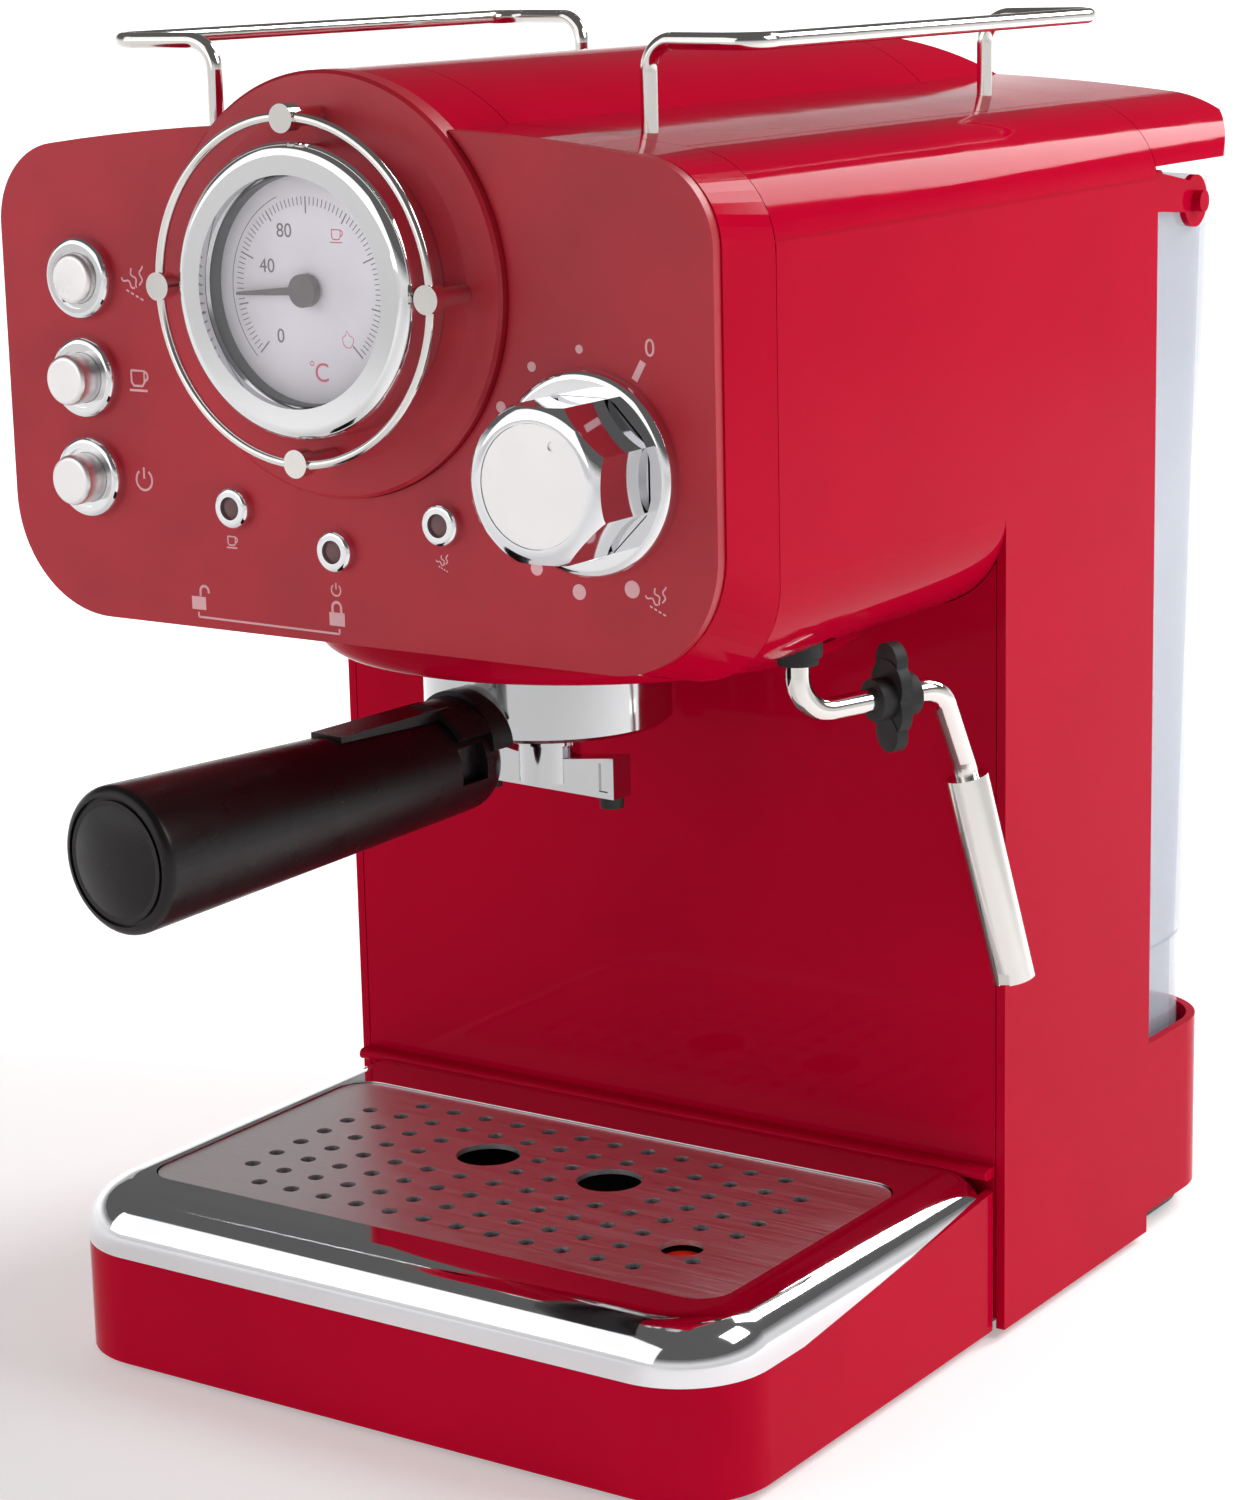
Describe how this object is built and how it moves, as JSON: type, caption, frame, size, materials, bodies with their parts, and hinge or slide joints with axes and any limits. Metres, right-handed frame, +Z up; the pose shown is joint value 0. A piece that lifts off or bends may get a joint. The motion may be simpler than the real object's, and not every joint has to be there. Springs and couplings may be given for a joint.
{
  "type": "espresso machine",
  "caption": "Countertop espresso machine with thermometer dial, push buttons, steam knob and wand, portafilter, drip tray, cup rails and a lift-out rear water tank.",
  "frame": {"origin": "middle of the footprint between base front and lid rear, on the worktop", "axes": "+X to the machine's right as seen from the front, +Y to its back, +Z up"},
  "size_m": [0.2222, 0.35, 0.339],
  "materials": {
    "red_cover": "high gloss",
    "red_fascia": "satin",
    "black_base": "matt moulded",
    "rubber": "matt",
    "handle_black": "satin moulded",
    "grey_frame": "matt moulded",
    "bright_steel": "polished",
    "satin_steel": "satin",
    "chrome": "polished",
    "chrome_plastic": "polished, chrome plated",
    "button_cap": "satin, plated",
    "cast_chrome": "polished",
    "gauge_glass": "clear",
    "dial_face": "printed, matt",
    "needle_grey": "matt",
    "lamp_lens": "clear moulded",
    "brass": "machined",
    "boiler_alloy": "cast",
    "clear_tank": "translucent",
    "float_red": "moulded"
  },
  "bodies": {
    "housing": {"base_housing": "red_cover", "tower_front_wall": "red_cover", "side_cover_right": "red_cover", "side_cover_left": "red_cover", "front_shell": "red_cover", "head_underside": "red_cover", "top_cover": "red_cover", "tank_holder": "red_cover", "fascia": "red_fascia", "gauge_boss": "red_fascia", "base_plate": "black_base", "back_panel": "black_base", "cord_gland": "black_base", "group_collar": "black_base", "button_switches": "black_base", "rubber_feet": "rubber", "group_gasket": "rubber", "wand_grommet": "rubber", "water_hoses": "rubber", "inner_frame": "grey_frame", "pump": "grey_frame", "cup_rail_right": "bright_steel", "cup_rail_left": "bright_steel", "guard_ring": "bright_steel", "guard_pegs": "bright_steel", "shower_screen": "satin_steel", "gauge_bezel": "chrome", "button_escutcheons": "chrome", "light_bezels": "chrome", "knob_escutcheon": "chrome", "gauge_lens": "gauge_glass", "gauge_dial": "dial_face", "light_lenses": "lamp_lens", "steam_valve": "brass", "boiler": "boiler_alloy"},
    "gauge_needle_body": {"gauge_needle": "needle_grey"},
    "steam_button": {"button_steam": "button_cap"},
    "brew_button": {"button_brew": "button_cap"},
    "power_button": {"button_power": "button_cap"},
    "knob": {"steam_knob": "chrome_plastic", "knob_insert": "button_cap"},
    "portafilter": {"portafilter_ring": "cast_chrome", "filter_basket": "satin_steel", "portafilter_neck": "handle_black", "handle_grip": "handle_black", "handle_cap": "handle_black", "spout": "cast_chrome", "spout_nozzles": "rubber"},
    "clip": {"filter_clip": "handle_black"},
    "wand": {"steam_pipe": "bright_steel", "wand_grip": "rubber"},
    "sleeve": {"frothing_sleeve": "bright_steel"},
    "tray": {"drip_tray": "black_base", "chrome_trim": "chrome_plastic"},
    "grid": {"drip_grid": "satin_steel"},
    "overflow_float": {"tray_float": "float_red"},
    "tank": {"water_tank": "clear_tank"},
    "valve": {"tank_valve": "black_base"},
    "lid": {"tank_lid": "red_cover"},
    "bail": {"tank_handle": "red_cover"}
  },
  "joints": [
    {"name": "needle_turn", "type": "hinge", "parent": "housing", "child": "gauge_needle_body", "pos_m": [0, -0.14, 0.2829], "axis": [0, -1, 0], "range_deg": [-229, 41], "stiffness_Nm_per_rad": 0.0002},
    {"name": "steam_button_push", "type": "slide", "parent": "housing", "child": "steam_button", "axis": [0, 1, 0], "range_m": [-0.004, 0]},
    {"name": "brew_button_push", "type": "slide", "parent": "housing", "child": "brew_button", "axis": [0, 1, 0], "range_m": [0, 0.004], "stiffness_N_per_m": 150},
    {"name": "power_button_push", "type": "slide", "parent": "housing", "child": "power_button", "axis": [0, 1, 0], "range_m": [0, 0.004], "stiffness_N_per_m": 150},
    {"name": "steam_knob_turn", "type": "hinge", "parent": "housing", "child": "knob", "pos_m": [0.0705, -0.15, 0.2442], "axis": [0, -1, 0], "range_deg": [0, 232]},
    {"name": "portafilter_turn", "type": "hinge", "parent": "housing", "child": "portafilter", "pos_m": [0, -0.0562, 0.1654], "axis": [0, 0, 1], "range_deg": [-40, 0]},
    {"name": "filter_clip_flip", "type": "hinge", "parent": "portafilter", "child": "clip", "pos_m": [-0.00342, -0.09304, 0.1757], "axis": [0.9957, -0.0924, 0], "range_deg": [-7, 0], "stiffness_Nm_per_rad": 0.02},
    {"name": "steam_wand_swivel", "type": "hinge", "parent": "housing", "child": "wand", "pos_m": [0.086, -0.0745, 0.19], "axis": [0, 0, 1], "range_deg": [-95, 0]},
    {"name": "frothing_sleeve_pull", "type": "slide", "parent": "wand", "child": "sleeve", "axis": [0.1672, 0.1463, -0.975], "range_m": [0, 0.025]},
    {"name": "drip_tray_lift", "type": "slide", "parent": "housing", "child": "tray", "axis": [0, 0, 1], "range_m": [0, 0.03]},
    {"name": "drip_grid_lift", "type": "slide", "parent": "tray", "child": "grid", "axis": [0, 0, 1], "range_m": [0, 0.02]},
    {"name": "float_rise", "type": "slide", "parent": "tray", "child": "overflow_float", "axis": [0, 0, 1], "range_m": [0, 0.006]},
    {"name": "water_tank_lift", "type": "slide", "parent": "housing", "child": "tank", "axis": [0, 0, 1], "range_m": [0, 0.06]},
    {"name": "tank_valve_lift", "type": "slide", "parent": "tank", "child": "valve", "axis": [0, 0, 1], "range_m": [0, 0.003], "stiffness_N_per_m": 60},
    {"name": "tank_lid_open", "type": "hinge", "parent": "tank", "child": "lid", "pos_m": [0, 0.0781, 0.3322], "axis": [1, 0, 0], "range_deg": [0, 95]},
    {"name": "tank_handle_swing", "type": "hinge", "parent": "tank", "child": "bail", "pos_m": [0, 0.1084, 0.2863], "axis": [1, 0, 0], "range_deg": [-4, 0]}
  ]
}
